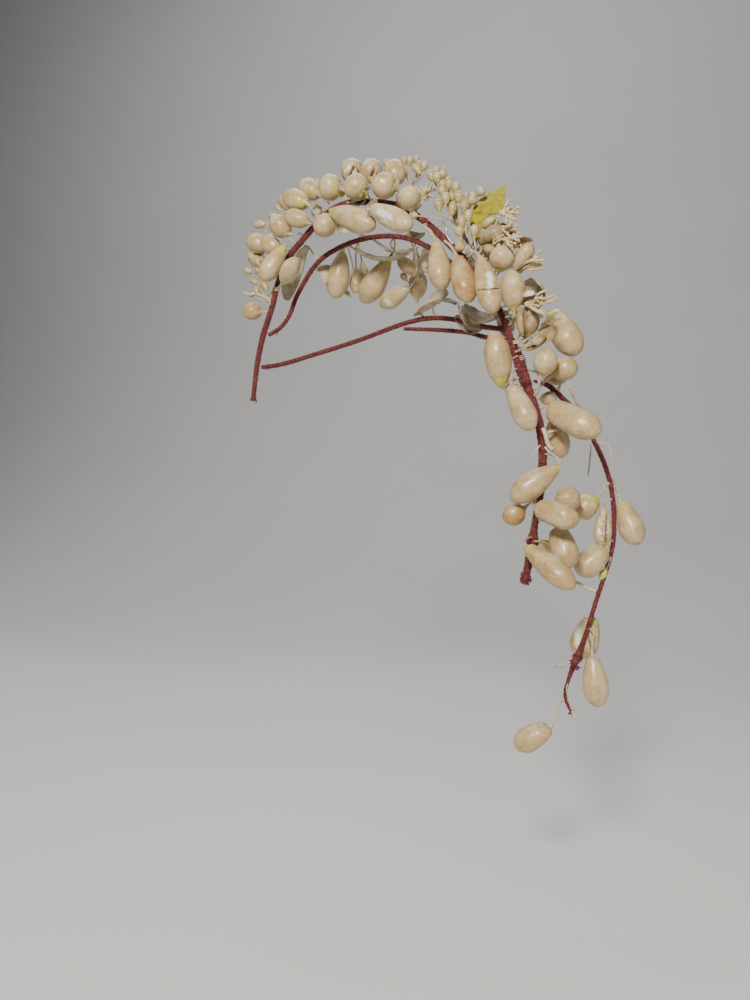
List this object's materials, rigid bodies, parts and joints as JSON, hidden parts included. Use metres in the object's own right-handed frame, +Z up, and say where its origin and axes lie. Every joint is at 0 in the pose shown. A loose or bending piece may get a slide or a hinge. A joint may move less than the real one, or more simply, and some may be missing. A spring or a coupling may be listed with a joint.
{
  "type": "wax flower headpiece",
  "caption": "Arched headpiece of paper-wrapped wires set with wax orange-blossom buds, opened blossoms and a leaf, with a near stem and a trailing spray that hang below it.",
  "frame": {"origin": "the point of the crown that the headpiece rests on, under the middle of its arch", "axes": "+X to the wearer's left, -Y the way the wearer faces, +Z up; the arch stands in the plane Y = 0"},
  "size_m": [0.2091, 0.0696, 0.2988],
  "materials": {
    "wax": "soft wax sheen",
    "small_bud_wax": "soft wax sheen",
    "petal_wax": "aged wax",
    "stamen_straw": "waxed thread",
    "leaf_paper": "waxed cloth",
    "inner_leaf_paper": "dry waxed cloth",
    "crimson_paper": "fibrous paper thread"
  },
  "bodies": {
    "root": {"arch_wire": "crimson_paper", "back_wire_lower": "crimson_paper", "back_wire_upper": "crimson_paper", "blossom_lower": "petal_wax", "blossom_upper": "petal_wax", "bud_crown_end": "wax", "bud_crown_frayed": "wax", "bud_crown_large": "wax", "bud_crown_pierced": "wax", "bud_crown_right": "wax", "bud_crown_split": "wax", "bud_front_dented": "wax", "bud_front_drop": "wax", "bud_front_round": "wax", "bud_front_tall": "wax", "bud_hang_cracked": "wax", "bud_hang_first": "wax", "bud_hang_second": "wax", "bud_inside_left": "wax", "bud_inside_middle": "wax", "bud_inside_right": "wax", "bud_left_drop": "wax", "bud_left_low": "wax", "bud_left_oval": "wax", "bud_left_round": "wax", "bud_left_upper": "wax", "bud_low_cross": "wax", "bud_low_front": "wax", "bud_low_hanging": "wax", "bud_low_last": "wax", "bud_low_round": "wax", "bud_low_upright": "wax", "bud_side_behind": "wax", "bud_side_far": "wax", "bud_side_large": "wax", "bud_side_low": "wax", "bud_side_middle": "wax", "bud_side_oval": "wax", "bud_side_round": "wax", "bud_stem_front": "wax", "bud_top_capped": "wax", "bud_top_left": "wax", "bud_top_pale": "wax", "bud_top_slim": "wax", "bud_trail_low": "wax", "bud_trail_outer": "wax", "bud_trail_split": "wax", "bud_trail_tip": "wax", "bud_trail_wide": "wax", "bud_trail_yellow": "wax", "inner_leaf": "inner_leaf_paper", "inner_wire": "crimson_paper", "leaf": "leaf_paper", "near_stem": "crimson_paper", "sprig_crown": "small_bud_wax", "sprig_left": "small_bud_wax", "sprig_top": "small_bud_wax", "stamens_lower": "stamen_straw", "stamens_upper": "stamen_straw", "trail_wire": "crimson_paper"}
  },
  "joints": []
}
